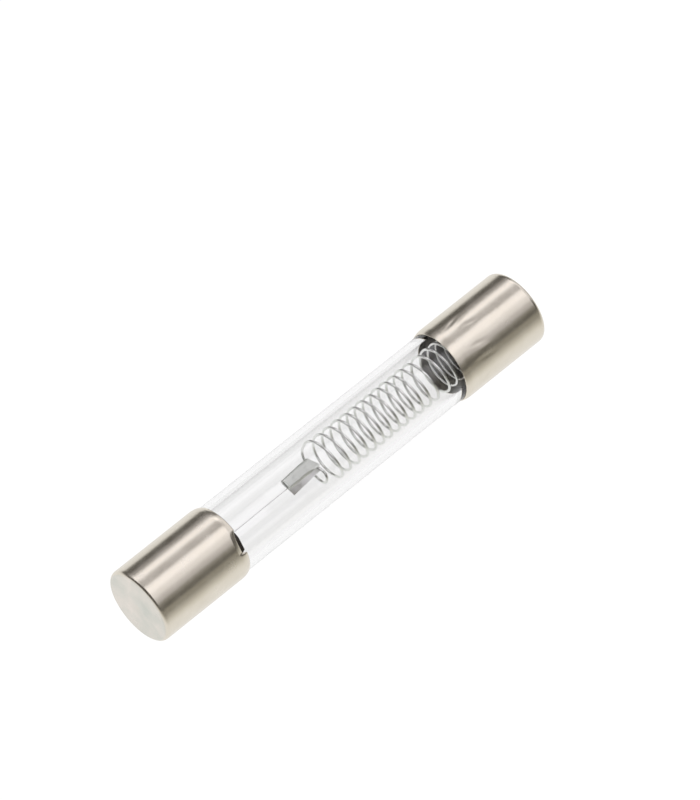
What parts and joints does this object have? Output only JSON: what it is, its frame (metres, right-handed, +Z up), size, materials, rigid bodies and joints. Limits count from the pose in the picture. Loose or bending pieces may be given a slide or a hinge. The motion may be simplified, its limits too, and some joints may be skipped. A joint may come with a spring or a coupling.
{
  "type": "cartridge fuse",
  "caption": "Glass cartridge fuse with metal end caps, holding a thin fuse wire and a stretched coil spring joined by a folded clip.",
  "frame": {"origin": "middle of the fuse, on its axis", "axes": "+X along the axis from the fuse wire's end to the spring's end, +Z up"},
  "size_m": [0.04, 0.0064, 0.0064],
  "materials": {
    "glass": "clear drawn glass tube",
    "cap_plating": "bright nickel plate over drawn brass",
    "cement": "pale cement film",
    "solder": "bright tin solder",
    "fuse_wire": "silvered fusible wire",
    "spring_wire": "drawn spring wire",
    "clip_sheet": "tinned sheet"
  },
  "bodies": {
    "fuse_body": {"glass_tube": "glass", "wire_end_cap": "cap_plating", "spring_end_cap": "cap_plating", "wire_end_cement": "cement", "spring_end_cement": "cement", "wire_end_solder": "solder", "spring_end_solder": "solder", "fuse_wire": "fuse_wire", "tension_spring": "spring_wire"},
    "crimp_link": {"crimp_clip": "clip_sheet", "clip_solder": "solder"}
  },
  "joints": [
    {"name": "spring_release", "type": "slide", "parent": "fuse_body", "child": "crimp_link", "axis": [1, 0, 0], "range_m": [0, 0.01], "deforming": ["tension_spring"]}
  ]
}
